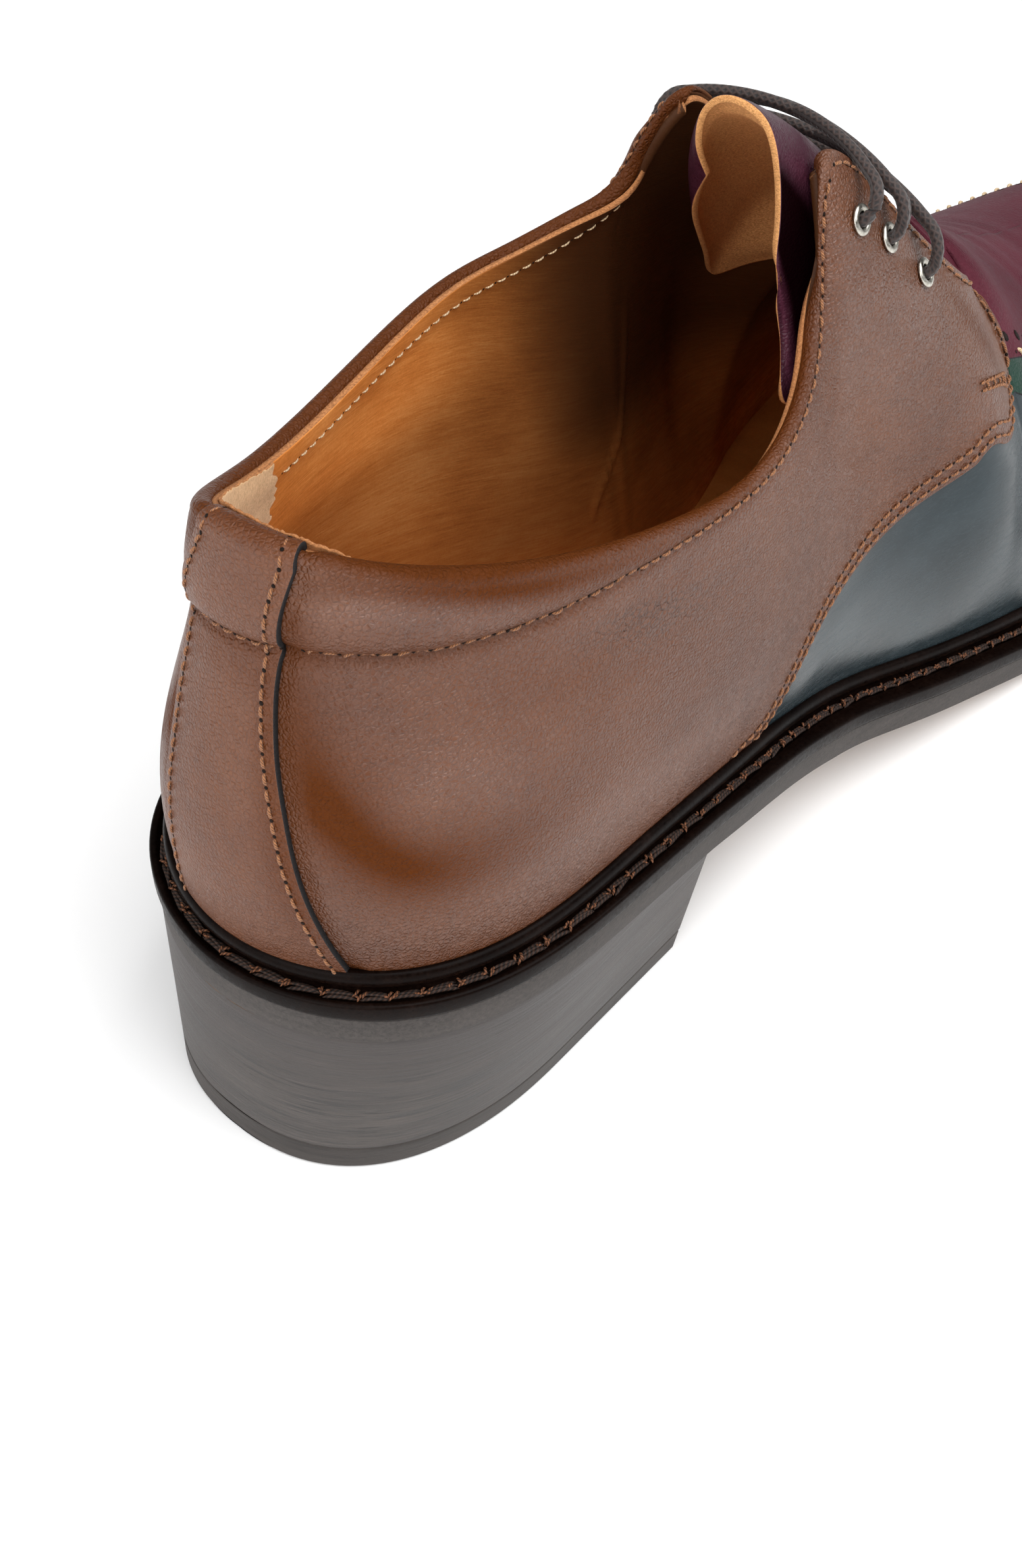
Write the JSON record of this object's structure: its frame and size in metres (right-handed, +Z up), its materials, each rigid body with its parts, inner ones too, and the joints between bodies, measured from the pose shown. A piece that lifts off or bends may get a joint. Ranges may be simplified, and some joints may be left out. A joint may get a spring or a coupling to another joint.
{
  "type": "derby shoe",
  "caption": "Laced derby brogue with a padded collar, flared backstay, storm welt and stacked block heel, one right shoe, empty",
  "frame": {"origin": "middle of the shoe's outline seen from above, on the ground plane under the heel and the ball", "axes": "+X from the heel to the toe, +Y to the wearer's left (the inner side of this right shoe), +Z up"},
  "size_m": [0.2819, 0.0949, 0.1192],
  "materials": {
    "upper_leather": "satin",
    "tongue_leather": "satin",
    "welt_leather": "satin",
    "insole_leather": "matte",
    "sole_leather": "satin",
    "lift_rubber": "matte",
    "eyelet_metal": "polished",
    "lace_cord": "matte"
  },
  "bodies": {
    "root": {"upper": "upper_leather", "tongue": "tongue_leather", "welt": "welt_leather", "insole": "insole_leather", "outsole": "sole_leather", "heel_stack": "sole_leather", "heel_lift": "lift_rubber", "eyelet_lateral_1": "eyelet_metal", "eyelet_lateral_2": "eyelet_metal", "eyelet_lateral_3": "eyelet_metal", "eyelet_medial_1": "eyelet_metal", "eyelet_medial_2": "eyelet_metal", "eyelet_medial_3": "eyelet_metal", "lace": "lace_cord"}
  },
  "joints": []
}
